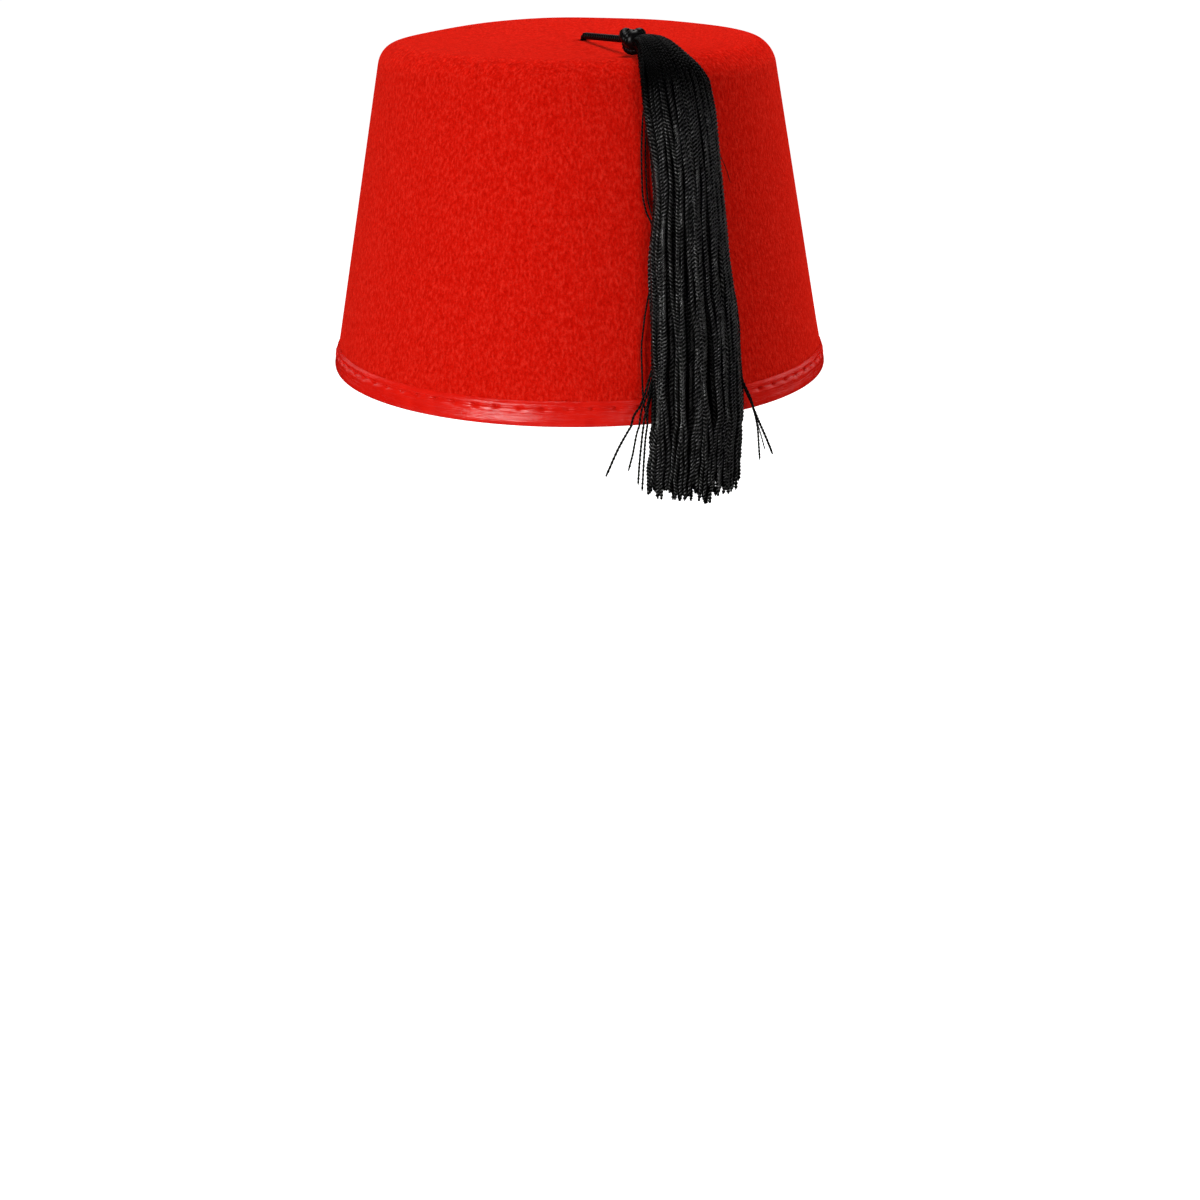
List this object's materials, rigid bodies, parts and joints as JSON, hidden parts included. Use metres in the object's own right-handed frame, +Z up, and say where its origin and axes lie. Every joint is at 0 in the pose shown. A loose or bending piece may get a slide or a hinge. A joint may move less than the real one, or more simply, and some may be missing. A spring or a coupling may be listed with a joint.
{
  "type": "fez hat",
  "caption": "Stiff felt fez: an oval cut-off cone, open below, with a bound rim and a thread tassel on a cord from the top's middle.",
  "frame": {"origin": "middle of the rim's plane, at the lower edge of the binding, where the hat sits on a head", "axes": "+Z up through the middle of the top, -Y the front with the tassel, +X to the right seen from the front; the oval is deeper along Y than it is wide along X"},
  "size_m": [0.1774, 0.2062, 0.1558],
  "materials": {
    "felt": "matt red wool felt with a fine fibre grain",
    "binding_tape": "red satin tape, folded and stitched, glossy",
    "black_cord": "black twisted cord with a low sheen",
    "black_thread": "black two-ply twisted threads with a silky sheen"
  },
  "bodies": {
    "root": {"crown": "felt", "rim_binding": "binding_tape", "tassel_cord": "black_cord", "stop_knot": "black_cord", "tassel_knot": "black_cord", "tassel": "black_thread"}
  },
  "joints": []
}
